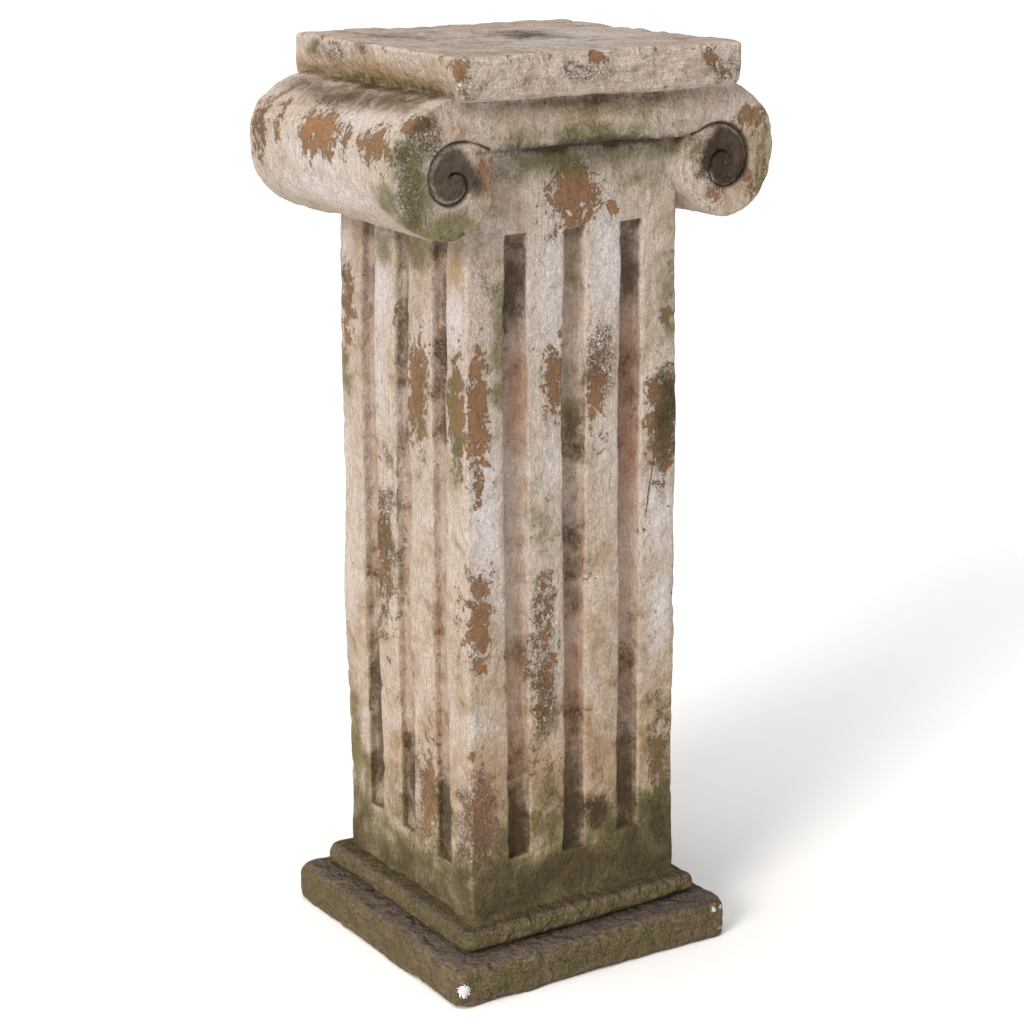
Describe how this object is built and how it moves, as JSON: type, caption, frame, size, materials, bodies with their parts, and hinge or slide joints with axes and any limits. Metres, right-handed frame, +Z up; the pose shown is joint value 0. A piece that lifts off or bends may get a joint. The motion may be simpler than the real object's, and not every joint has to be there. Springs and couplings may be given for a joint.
{
  "type": "ionic pedestal column",
  "caption": "Square fluted garden pedestal with a scrolled capital and a flat top slab, made to stand on the ground and carry a pot or a figure.",
  "frame": {"origin": "middle of the underside, on the surface that the pedestal stands on", "axes": "+Z up along the height; +X across the capital from scroll to scroll; the scrolled faces look along -Y and +Y"},
  "size_m": [0.3244, 0.2498, 0.7],
  "materials": {
    "aged_painted_cast_stone": "chalky cream paint, flaked to the brown cast body, with moss and dirt in the sinkings"
  },
  "bodies": {
    "root": {"pedestal": "aged_painted_cast_stone"}
  },
  "joints": []
}
